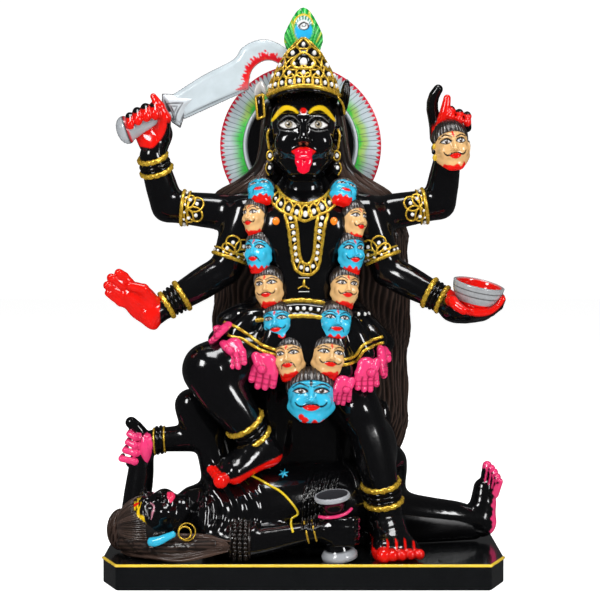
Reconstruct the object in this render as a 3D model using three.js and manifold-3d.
// A painted stone figure of Kali with sword, bowl, garland of heads, halo and plinth, carved as one block.
// Millimetres, +Z up, +X to the figure's left hand, -Y to its front, origin under the plinth's middle.
import * as THREE from 'three';
import { mergeVertices } from 'three/addons/utils/BufferGeometryUtils.js';
import Module from 'manifold-3d';

const wasm = await Module();
wasm.setup();

// Driving sizes
const FIGURE_HEIGHT = 583;
const PLINTH_LENGTH = 424;
const PLINTH_DEPTH = 190;
const PLINTH_HEIGHT = 27;
const CORNER_CUT_LENGTH = 18;
const CORNER_CUT_DEPTH = 48;
const HALO_RADIUS = 88;
const HALO_THICKNESS = 12;
const HALO_RIM_WIDTH = 27;
const HALO_RIM_RAISE = 4;
const BLADE_THICKNESS = 7;
const BOWL_RADIUS = 27;
const BOWL_DEPTH = 24;
const BOWL_WALL = 3.5;
const FEATHER_THICKNESS = 14;

// The pose and the carving are drawn for a figure of 583 mm and follow its height.
const SHARE = FIGURE_HEIGHT / 583;

// A place on the figure, measured from the plinth's top
function at(x, y, z) {
  return new THREE.Vector3(x, y, z).multiplyScalar(SHARE);
}

// A closed three.js geometry as a solid that can be joined or cut
function solid(geometry) {
  const bare = geometry.clone();
  bare.deleteAttribute('normal');
  bare.deleteAttribute('uv');
  const merged = mergeVertices(bare, 1e-4);
  const corners = merged.index.array;
  const kept = [];
  for (let i = 0; i < corners.length; i += 3) {
    const [a, b, c] = [corners[i], corners[i + 1], corners[i + 2]];
    if (a !== b && b !== c && c !== a) kept.push(a, b, c);
  }
  const mesh = new wasm.Mesh({
    numProp: 3,
    vertProperties: new Float32Array(merged.attributes.position.array),
    triVerts: new Uint32Array(kept),
  });
  mesh.merge();
  return new wasm.Manifold(mesh);
}

function join(solids) {
  let pieces = solids.flat(Infinity);
  while (pieces.length > 1) {
    const next = [];
    for (let i = 0; i < pieces.length; i += 2) {
      next.push(i + 1 < pieces.length ? pieces[i].add(pieces[i + 1]) : pieces[i]);
    }
    pieces = next;
  }
  return pieces[0];
}

// A limb or a strand through a row of stations, each a place, a half width and how flat it is
function chain(stations, sides = 7, blunt = 0.5, facing = new THREE.Vector3(0, 1, 0)) {
  const count = stations.length;
  const places = stations.map(([place]) => place);
  const radii = stations.map(([, radius]) => radius * SHARE);
  const flats = stations.map(([, , flat = 1]) => flat);
  const profile = [new THREE.Vector2(0, -1)];
  radii.forEach((radius, i) => profile.push(new THREE.Vector2(radius, i)));
  profile.push(new THREE.Vector2(0, count));
  const shape = new THREE.LatheGeometry(profile, sides);
  const points = shape.attributes.position;
  for (let k = 0; k < points.count; k += 1) {
    const row = Math.round(points.getY(k));
    const i = Math.min(Math.max(row, 0), count - 1);
    const before = places[Math.max(i - 1, 0)];
    const after = places[Math.min(i + 1, count - 1)];
    const forward = after.clone().sub(before).normalize();
    const depth = facing.clone().addScaledVector(forward, -facing.dot(forward)).normalize();
    const across = new THREE.Vector3().crossVectors(forward, depth);
    const point = places[i].clone();
    if (row === i) {
      point.addScaledVector(across, points.getX(k));
      point.addScaledVector(depth, points.getZ(k) * flats[i]);
    } else {
      point.addScaledVector(forward, Math.sign(row) * radii[i] * blunt);
    }
    points.setXYZ(k, point.x, point.y, point.z);
  }
  return solid(shape);
}

// Stations from one joint to the next; each step gives how far along and what the limb adds there
function between(a, b, radiusA, radiusB, steps) {
  return steps.map(([t, extra]) => [a.clone().lerp(b, t), radiusA + (radiusB - radiusA) * t + extra]);
}

// An armlet's broad band, and a pair of rings with beads between them, as steps along a limb
function band(from, to, raise) {
  return [[from, 0], [from + 0.01, raise], [to - 0.01, raise], [to, 0]];
}

function ringPair(from, to, raise) {
  const width = (to - from) * 0.3;
  return [
    [from, 0], [from + 0.01, raise], [from + width, raise], [(from + to) / 2, raise * 0.2],
    [to - width, raise], [to - 0.01, raise], [to, 0],
  ];
}

// An egg-shaped form with its own half widths and turn
function ball(centre, rx, ry, rz, turn = [0, 0, 0], around = 8, rows = 6) {
  const shape = new THREE.SphereGeometry(1, around, rows).rotateX(Math.PI / 2);
  shape.scale(rx * SHARE, ry * SHARE, rz * SHARE);
  shape.applyQuaternion(new THREE.Quaternion().setFromEuler(new THREE.Euler(...turn)));
  return solid(shape.translate(centre.x, centre.y, centre.z));
}

// A turned form whose profile is given as radius and height pairs, flattened front to back
function turned(centre, pairs, flat = 1, sides = 16, turn = [0, 0, 0]) {
  const profile = pairs.map(([r, h]) => new THREE.Vector2(r * SHARE, h * SHARE));
  const shape = new THREE.LatheGeometry(profile, sides).rotateX(Math.PI / 2).scale(1, flat, 1);
  shape.applyQuaternion(new THREE.Quaternion().setFromEuler(new THREE.Euler(...turn)));
  return solid(shape.translate(centre.x, centre.y, centre.z));
}

// Moves a solid drawn at the origin to a place, with its own turn and size
function placed(part, position, turn, size = 1) {
  const matrix = new THREE.Matrix4().compose(
    position,
    new THREE.Quaternion().setFromEuler(new THREE.Euler(...turn)),
    new THREE.Vector3(size, size, size),
  );
  return part.transform(matrix.elements);
}

// The plinth: a slab whose two front corners are cut off
function plinth() {
  const x = PLINTH_LENGTH / 2;
  const y = PLINTH_DEPTH / 2;
  const outline = new THREE.Shape();
  outline.moveTo(-x + CORNER_CUT_LENGTH, -y);
  outline.lineTo(x - CORNER_CUT_LENGTH, -y);
  outline.lineTo(x, -y + CORNER_CUT_DEPTH);
  outline.lineTo(x, y);
  outline.lineTo(-x, y);
  outline.lineTo(-x, -y + CORNER_CUT_DEPTH);
  outline.closePath();
  const slab = new THREE.ExtrudeGeometry(outline, { depth: PLINTH_HEIGHT, bevelEnabled: false });
  return solid(slab.translate(0, 0, -PLINTH_HEIGHT));
}

// A small part such as a nose or a thumb, from a to b
function bone(a, b, radiusA, radiusB, sides = 4) {
  return chain([[a, radiusA], [b, radiusB]], sides, 0.7);
}

// Torso, neck, collar and the two long strands
function torso() {
  const trunk = turned(at(0, 5, 0), [
    [0, 200], [66, 206], [66, 237], [51, 275], [60, 330], [67, 352], [62, 372], [20, 392], [17, 414],
    [0, 418],
  ], 0.6, 10);
  const breasts = [-1, 1].map((side) => ball(at(side * 29, -22, 336), 22, 19, 21, [0, 0, 0], 6, 5));
  const collar = turned(at(1, -10, 362), [[0, -8], [36, -7], [36, 4], [0, 14]], 0.82, 10, [0.35, 0, 0]);
  const strand = [];
  const steps = 5;
  for (let i = 0; i <= steps; i += 1) {
    const angle = Math.PI * (i / steps);
    const drop = 47 * Math.sin(angle) ** 0.8;
    strand.push([at(1 - 17 * Math.cos(angle), -36 + 0.12 * drop, 354 - drop), 5.5]);
  }
  return [trunk, breasts, collar, chain(strand, 4)];
}

// Head with its brow, nose, lips, tongue and ears
function head() {
  const skull = turned(at(0, -3, 0), [
    [0, 400], [13, 402], [22, 411], [29, 427], [33, 447], [34, 480], [0, 488],
  ], 1.02, 10);
  const nose = bone(at(0, -33, 457), at(0, -40, 438), 3, 6);
  const lips = ball(at(0, -30, 425), 10, 6, 4, [0, 0, 0], 6, 4);
  const tongue = chain([
    [at(0, -34, 424), 6, 0.5], [at(0, -38, 410), 7, 0.4], [at(0, -37, 403), 4, 0.4],
  ], 5);
  const ears = [-1, 1].map((side) => ball(at(side * 34, -2, 440), 5, 9, 14, [0, 0, side * 0.35], 5, 3));
  const drops = [-1, 1].map((side) => (
    turned(at(side * 36, -8, 402), [[0, -6], [7, 2], [4, 24], [0, 36]], 1, 5)
  ));
  return [skull, nose, lips, tongue, ears, drops];
}

// One tier of the crown: upright leaves round a drum, each coming to a point
function tier(radius, low, high, leaves) {
  const profile = [[0, low], [radius, low], [radius + 1, high], [radius - 7, high - 4], [0, high - 8]];
  const points = profile.map(([r, h]) => new THREE.Vector2(r * SHARE, h * SHARE));
  const shape = new THREE.LatheGeometry(points, leaves * 2, Math.PI / leaves);
  const place = shape.attributes.position;
  const rows = points.length;
  for (let k = 0; k < place.count; k += 1) {
    const column = Math.floor(k / rows) % 2;
    const row = k % rows;
    if (column === 0 && (row === 2 || row === 3)) {
      const notch = (high - low) * 0.35 * SHARE;
      place.setXYZ(k, place.getX(k) * 0.93, place.getY(k) - notch, place.getZ(k) * 0.93);
    }
  }
  return solid(shape.rotateX(Math.PI / 2).translate(0, -2 * SHARE, 0));
}

// Crown: a brow band, three tiers of leaves, side leaves and a knob under the feather
function crown() {
  const brow = turned(at(0, -2, 474), [[0, -6], [38, 0], [41, 8], [38, 17], [0, 20]], 1, 10);
  const tiers = [tier(39, 490, 511, 8), tier(32, 497, 534, 6), tier(23, 518, 556, 5)];
  const knob = turned(at(0, -2, 540), [[0, 0], [13, 4], [10, 22], [0, 34]], 1, 6);
  const sideLeaves = [-1, 1].map((side) => ball(at(side * 45, 2, 488), 5, 7, 24, [0, side * 0.12, 0], 5, 4));
  return [brow, tiers, knob, sideLeaves];
}

// The feather on the crown, a flat drop with its point up
function feather() {
  const vane = new THREE.Shape();
  vane.moveTo(0, FIGURE_HEIGHT);
  vane.quadraticCurveTo(18 * SHARE, 573 * SHARE, 21 * SHARE, 550 * SHARE);
  vane.lineTo(15 * SHARE, 532 * SHARE);
  vane.lineTo(-15 * SHARE, 532 * SHARE);
  vane.lineTo(-21 * SHARE, 550 * SHARE);
  vane.quadraticCurveTo(-18 * SHARE, 573 * SHARE, 0, FIGURE_HEIGHT);
  const options = { depth: FEATHER_THICKNESS, bevelEnabled: false, curveSegments: 4 };
  const shape = new THREE.ExtrudeGeometry(vane, options);
  shape.rotateX(Math.PI / 2).translate(0, 12 * SHARE + FEATHER_THICKNESS / 2, 0);
  return solid(shape);
}

// Halo: a disc with a raised rim, standing behind the head
function halo() {
  const half = HALO_THICKNESS / 2;
  const inner = HALO_RADIUS - HALO_RIM_WIDTH;
  const profile = [
    new THREE.Vector2(0, -half),
    new THREE.Vector2(HALO_RADIUS, -half),
    new THREE.Vector2(HALO_RADIUS, half),
    new THREE.Vector2(inner, half + HALO_RIM_RAISE),
    new THREE.Vector2(inner - HALO_RIM_RAISE, half),
    new THREE.Vector2(0, half),
  ];
  const disc = new THREE.LatheGeometry(profile, 20).rotateX(Math.PI);
  const middle = at(-3, 45, 436);
  return solid(disc.translate(middle.x, middle.y, middle.z));
}

// Hair: strands over the shoulders, and a fluted fall of locks down the back
function hair() {
  const backOfHead = ball(at(0, 16, 438), 46, 32, 50, [0, 0, 0], 8, 5);
  const falls = [-1, 1].map((side) => chain([
    [at(side * 36, 8, 470), 12], [at(side * 50, 12, 425), 18],
    [at(side * 74, 26, 388), 24], [at(side * 94, 38, 350), 22],
  ], 6));
  const locks = 9;
  const outline = new THREE.Shape();
  outline.moveTo(1, -0.55);
  for (let i = 0; i <= locks * 2; i += 1) {
    const x = 1 - i / locks;
    outline.lineTo(x, Math.sqrt(Math.max(0, 1 - 0.7 * x * x)) - (i % 2) * 0.2);
  }
  outline.lineTo(-1, -0.55);
  outline.closePath();
  const levels = [
    [4, 92, 118], [3, 98, 220], [2, 112, 322], [0, 98, 385],
  ];
  const steps = levels.length - 1;
  const fall = new THREE.ExtrudeGeometry(outline, { depth: steps, steps, bevelEnabled: false });
  const points = fall.attributes.position;
  for (let k = 0; k < points.count; k += 1) {
    const [middle, half, height] = levels[Math.round(points.getZ(k))];
    const drop = height < 200 ? 14 * points.getX(k) : 0;
    const place = at(middle + half * points.getX(k), 38 + 20 * points.getY(k), height - drop);
    points.setXYZ(k, place.x, place.y, place.z);
  }
  return [backOfHead, falls, solid(fall)];
}

// An open hand without its thumb, drawn with its wrist at the origin, fingers along +Z, palm to -Y
function openHand() {
  const lengths = [45, 51, 48, 41];
  const outline = new THREE.Shape();
  outline.moveTo(8 * SHARE, 0);
  outline.lineTo(14.5 * SHARE, 16 * SHARE);
  lengths.forEach((length, i) => {
    const x = 15.5 - 7.6 * i;
    outline.lineTo((x - 1) * SHARE, length * SHARE);
    outline.lineTo((x - 5.5) * SHARE, length * SHARE);
    if (i < 3) outline.lineTo((x - 7.3) * SHARE, (28 - i) * SHARE);
  });
  outline.lineTo(-14 * SHARE, 30 * SHARE);
  outline.lineTo(-8 * SHARE, 0);
  outline.closePath();
  const hand = new THREE.ExtrudeGeometry(outline, { depth: 10 * SHARE, bevelEnabled: false });
  return solid(hand.rotateX(Math.PI / 2).translate(0, 5 * SHARE, 0));
}

// A row of finger or toe ends side by side, from the thick one to the thin one
function digits(from, to, count, thick, thin, sides) {
  const stations = [];
  for (let i = 0; i < count; i += 1) {
    const radius = THREE.MathUtils.lerp(thick, thin, i / (count - 1));
    stations.push([from.clone().lerp(to, i / (count - 1)), radius]);
    if (i < count - 1) stations.push([from.clone().lerp(to, (i + 0.5) / (count - 1)), radius * 0.72]);
  }
  return chain(stations, sides, 0.6);
}

// A closed hand drawn about the origin, its four fingers side by side along X
function fist(width = 34) {
  return digits(at(-width * 0.36, 0, 0), at(width * 0.36, 0, 0), 4, 17, 15, 5);
}

// A foot from the heel to its row of toes
function foot(ankle, heel, bigToe, smallToe, girth) {
  const front = bigToe.clone().lerp(smallToe, 0.45);
  const instep = heel.clone().lerp(front, 0.5).lerp(ankle, 0.25);
  const width = bigToe.distanceTo(smallToe) / SHARE / 2 + 5;
  const up = new THREE.Vector3(0, 0, 1);
  const sole = chain([
    [heel, girth * 0.75, 0.9], [instep, girth * 0.95, 0.85], [heel.clone().lerp(front, 0.9), width, 0.45],
  ], 7, 0.5, up);
  return [chain([[ankle, girth], [heel.clone().lerp(instep, 0.35), girth * 0.9]], 6), sole,
    digits(bigToe, smallToe, 5, 8, 5, 4)];
}

// The four arms with their armlets and bangles
function arms() {
  const arm = (shoulder, elbow, wrist, armlet, bangles) => chain([
    ...between(shoulder, elbow, 20, 15.5, [[0, 0], ...armlet, [1, 0]]),
    ...between(elbow, wrist, 15.5, 12, [[0.12, 0.5], ...bangles, [1, 0]]),
  ], 6);
  return [
    arm(at(-60, 13, 366), at(-146, 15, 370), at(-163, 3, 448), band(0.68, 0.86, 4), ringPair(0.4, 0.66, 4)),
    arm(at(66, 13, 366), at(151, 15, 371), at(156, 5, 442), band(0.62, 0.8, 4), []),
    arm(at(-64, 0, 366), at(-83, -2, 300), at(-149, -29, 264), band(0.42, 0.82, 4), ringPair(0.66, 0.94, 4)),
    arm(at(68, 0, 366), at(91, -2, 297), at(156, -34, 268), band(0.42, 0.82, 4), ringPair(0.6, 0.88, 4)),
  ];
}

// A plate cut to an outline in the XZ plane
function plate(points, thickness, depth) {
  const outline = new THREE.Shape(points.map(([x, z]) => new THREE.Vector2(x * SHARE, z * SHARE)));
  const sheet = new THREE.ExtrudeGeometry(outline, { depth: thickness, bevelEnabled: false });
  return solid(sheet.rotateX(Math.PI / 2).translate(0, depth * SHARE + thickness / 2, 0));
}

// The upper right hand with the broad hooked sword
function sword() {
  const hand = placed(fist(36), at(-166, 0, 462), [0, 0.35, 0]);
  const hilt = bone(at(-192, -1, 451), at(-136, 4, 474), 6, 6, 5);
  const pommel = chain([[at(-194, -2, 464), 6], [at(-189, -2, 450), 9], [at(-188, -2, 438), 6]], 6);
  const guard = plate([[-150, 490], [-136, 473], [-131, 453], [-114, 487]], BLADE_THICKNESS * 2, 6);
  const blade = plate([
    [-138, 492], [-76, 526], [-67, 538], [-55, 546], [-43, 548], [-30, 546], [-18, 539], [-10, 529],
    [-18, 512], [-26, 522], [-34, 526], [-43, 526], [-51, 523], [-56, 516], [-58, 508], [-58, 494],
    [-128, 463],
  ], BLADE_THICKNESS, 8);
  return [hand, hilt, pommel, guard, blade];
}

// A cut-off head: the stump, the face with its nose drawn out, and a cap of hair that stands out from it
function cutHead(centre, width, height, turn) {
  const w = width / 2;
  const h = height / 2;
  const rows = [[0, -1.2], [0.84, -0.55], [0.98, 0.6], [1.06, 0.64], [0.78, 1.28], [0, 1.42]];
  const sides = 7;
  const profile = rows.map(([r, t]) => new THREE.Vector2(r * w * SHARE, t * h * SHARE));
  const shape = new THREE.LatheGeometry(profile, sides);
  shape.rotateX(Math.PI / 2).scale(1, 0.95, 1);
  const points = shape.attributes.position;
  const noseRow = 1;
  for (let k = 0; k < points.count; k += 1) {
    const column = Math.floor(k / rows.length) % sides;
    if (k % rows.length === noseRow && column === 0) {
      points.setXYZ(k, 0, -w * 1.14 * SHARE, -h * 0.3 * SHARE);
    }
  }
  return placed(solid(shape), centre, turn);
}

// The upper left hand, one finger raised, holding a head by its hair
function raisedHead() {
  const hand = placed(fist(30), at(161, 0, 464), [0, 0, 0]);
  const finger = chain([[at(146, 5, 452), 6.5], [at(142, 6, 478), 5], [at(141, 6, 497), 4]], 5);
  const thumb = chain([[at(147, -6, 450), 6], [at(152, -10, 487), 4.4]], 5);
  return [hand, finger, thumb, cutHead(at(157, -20, 433), 38, 44, [0, 0, 0.1])];
}

// The lower right hand, open towards the viewer
function blessingHand() {
  const hand = openHand().add(bone(at(10, -4, 6), at(15, -8, 25), 5, 4));
  return placed(hand, at(-147, -30, 262), [0.1, -1.1, 0], 1.18);
}

// The lower left hand with the bowl of blood, a hollow half globe
function bowlHand() {
  const seat = at(181, -44, 262);
  const steps = 3;
  const outside = [];
  const inside = [];
  for (let i = 0; i <= steps; i += 1) {
    const angle = (i / steps) * (Math.PI / 2);
    const r = (BOWL_RADIUS - BOWL_WALL) * Math.sin(angle);
    outside.push(new THREE.Vector2(BOWL_RADIUS * Math.sin(angle), BOWL_DEPTH * (1 - Math.cos(angle))));
    inside.push(new THREE.Vector2(r, BOWL_DEPTH - (BOWL_DEPTH - BOWL_WALL) * Math.cos(angle)));
  }
  const bowl = new THREE.LatheGeometry([...outside, ...inside.reverse()], 12).rotateX(Math.PI / 2);
  const palm = chain([[at(150, -34, 264), 11, 1], [at(172, -42, 257), 13, 0.6], [at(190, -44, 256), 17, 0.4],
    [at(203, -46, 268), 13, 0.35]], 6, 0.5, new THREE.Vector3(0, 0, 1));
  const thumb = bone(at(154, -46, 266), at(161, -64, 281), 5.5, 4);
  return [solid(bowl.translate(seat.x, seat.y, seat.z)), palm, thumb];
}

// The garland of heads, smaller at the shoulders, with the largest at the bottom
function garland() {
  const rightSide = [
    [-45, -17, 384, 27, 24, 0.4], [-51, -26, 357, 23, 26, 0.15], [-47, -31, 320, 27, 28, 0],
    [-36, -32, 281, 29, 30, 0], [-26, -38, 244, 31, 30, 0], [-14, -47, 207, 31, 31, 0.1],
  ];
  const leftSide = [
    [42, -17, 384, 27, 24, -0.4], [53, -26, 352, 23, 28, -0.1], [50, -31, 319, 26, 28, 0],
    [43, -32, 281, 29, 30, 0], [33, -38, 245, 33, 30, 0], [26, -47, 208, 34, 30, -0.1],
  ];
  const heads = [...rightSide, ...leftSide].map(([x, y, z, width, height, tilt]) => (
    cutHead(at(x, y, z), width, height, [-0.1, tilt, x * 0.006])
  ));
  heads.push(cutHead(at(8, -50, 167), 47, 40, [-0.1, 0, 0]));
  return heads;
}

// The skirt: a flared fluted form, and six cut-off hands hung from it
function skirt() {
  const rows = [[0, 202], [84, 206], [88, 214], [70, 246], [57, 262], [61, 264], [60, 274], [0, 281]];
  const flutes = 9;
  const profile = rows.map(([r, h]) => new THREE.Vector2(r * SHARE, h * SHARE));
  const cone = new THREE.LatheGeometry(profile, flutes * 2);
  const points = cone.attributes.position;
  for (let k = 0; k < points.count; k += 1) {
    const row = k % rows.length;
    const column = Math.floor(k / rows.length) % 2;
    const narrow = column === 1 && row > 0 && row < 4 ? 0.92 : 1;
    points.setXYZ(k, points.getX(k) * narrow, points.getY(k), points.getZ(k) * narrow * 0.56);
  }
  cone.rotateX(Math.PI / 2).translate(-3 * SHARE, 2 * SHARE, 0);
  const hand = openHand();
  const hands = [
    [-86, -20, 246, 2.7, 0.2], [-66, -38, 230, 2.9, 0.25], [-40, -48, 214, 3.05, 0.1],
    [38, -50, 196, 3.1, -0.1], [62, -42, 208, 3.3, -0.3], [80, -12, 220, 3.2, -1.0],
  ].map(([x, y, z, swing, yaw]) => placed(hand, at(x, y, z), [0.1, swing, yaw], 0.76));
  return [solid(cone), hands];
}

// Both legs with their anklets and feet
function legs() {
  const rightKnee = at(-100, -40, 198);
  const rightAnkle = at(-50, -44, 124);
  const leftKnee = at(68, -20, 150);
  const leftAnkle = at(88, -31, 52);
  return [
    chain([
      [at(-26, -2, 216), 33], [at(-84, -32, 206), 28], [rightKnee, 26],
      [at(-84, -41, 178), 24], [at(-72, -42, 158), 22],
      ...between(at(-72, -42, 158), rightAnkle, 22, 16, [...ringPair(0.4, 0.9, 4), [1, 0]]),
    ], 7),
    foot(rightAnkle, at(-38, -42, 112), at(-86, -74, 88), at(-93, -52, 93), 15),
    chain([
      [at(31, 0, 216), 32], [leftKnee, 22], [at(76, -22, 118), 23],
      ...between(at(79, -26, 100), leftAnkle, 22, 18, [[0, 0], ...ringPair(0.35, 0.9, 4), [1, 0]]),
    ], 7),
    foot(leftAnkle, at(90, -22, 17), at(85, -82, 7), at(117, -74, 8), 18),
  ];
}

// The lying figure: head to the front left, one leg straight to the back right
function lyingFigure() {
  const chest = [[at(-112, -42, 40), 17]];
  const ribs = 3;
  for (let i = 0; i < ribs; i += 1) {
    const x = -92 + 28 * i;
    chest.push([at(x, -36 + 6 * i, 42), 33 - i], [at(x + 14, -33 + 6 * i, 42), 37 - i]);
  }
  const body = chain([
    ...chest, [at(0, -14, 44), 31], [at(44, 0, 40), 33], [at(106, 24, 34), 23], [at(140, 38, 30), 19],
    [at(186, 53, 24), 14], [at(198, 57, 14), 12],
  ], 8);
  const head = ball(at(-150, -40, 42), 35, 27, 28, [0, 0.15, 0], 8, 5);
  const nose = bone(at(-154, -44, 64), at(-143, -46, 73), 4, 5);
  const hairCap = ball(at(-170, -30, 34), 28, 30, 30, [0, 0, 0], 7, 5);
  const bun = ball(at(-194, -16, 22), 16, 17, 22, [0, 0, 0], 6, 4);
  const flow = chain([[at(-180, -50, 14), 13], [at(-140, -70, 14), 12], [at(-92, -78, 10), 10]], 5);
  const nearArm = chain([
    ...between(at(-86, -66, 22), at(-50, -74, 20), 17, 15, [[0, 0], ...band(0.3, 0.6, 3), [1, 0]]),
    ...between(at(-50, -74, 20), at(22, -72, 32), 14, 11, [[0.3, 0], [1, 0]]),
  ], 6);
  const drum = turned(at(36, -74, 3), [
    [0, 0], [17.5, 1], [17.5, 9], [11, 18], [11, 50], [17.5, 58], [17.5, 65], [0, 66],
  ], 1, 8, [0, -0.1, 0]);
  const up = chain([[at(198, 57, 14), 12, 1.4], [at(200, 57, 46), 9, 2], [at(203, 58, 72), 7, 2.3]], 6);
  const bentLeg = chain([[at(40, 16, 36), 24], [at(94, 38, 96), 22], [at(88, 40, 20), 15]], 6);
  const raisedArm = chain([
    [at(-122, -12, 158), 13], [at(-119, -12, 144), 18], [at(-112, -14, 112), 14], [at(-100, -24, 60), 13],
  ], 7);
  const forearm = chain(
    between(at(-108, -6, 121), at(-166, -7, 119), 15, 12, [[0, 0], ...ringPair(0.55, 0.8, 3), [1, 0]]), 6);
  const strut = chain([[at(-171, -8, 108), 12], [at(-178, -16, 30), 14]], 4);
  return [
    body, head, nose, hairCap, bun, flow, nearArm, drum, up, bentLeg, raisedArm, forearm, strut,
    placed(fist(32), at(32, -72, 34), [0, 1.45, 0]),
    placed(fist(32), at(-171, -8, 119), [0, 1.5, 0], 0.9),
    bone(at(-168, -8, 130), at(-178, -12, 148), 5, 6, 5),
  ];
}

// The dark mass behind the legs that carries the hair down to the plinth
function backing() {
  return turned(at(4, 38, 0), [[0, -4], [98, -4], [102, 30], [98, 90], [90, 150], [0, 160]], 0.25, 12);
}

// The joined solid as a named three.js mesh
function asMesh(part, name, material) {
  const { vertProperties, triVerts } = part.getMesh();
  const geometry = new THREE.BufferGeometry();
  geometry.setAttribute('position', new THREE.BufferAttribute(vertProperties, 3));
  geometry.setIndex(new THREE.BufferAttribute(triVerts, 1));
  geometry.computeVertexNormals();
  const mesh = new THREE.Mesh(geometry, material);
  mesh.name = name;
  return mesh;
}

const figure = join([
  plinth(),
  torso(), head(), crown(), feather(), halo(), hair(),
  arms(), sword(), raisedHead(), blessingHand(), bowlHand(),
  garland(), skirt(), legs(), lyingFigure(), backing(),
]);

const blackStone = new THREE.MeshStandardMaterial({ color: 0x17171a, roughness: 0.18, metalness: 0 });
const mesh = asMesh(figure, 'kali_figure', blackStone);
mesh.position.z = PLINTH_HEIGHT;

const model = new THREE.Group();
model.add(mesh);
export default model;
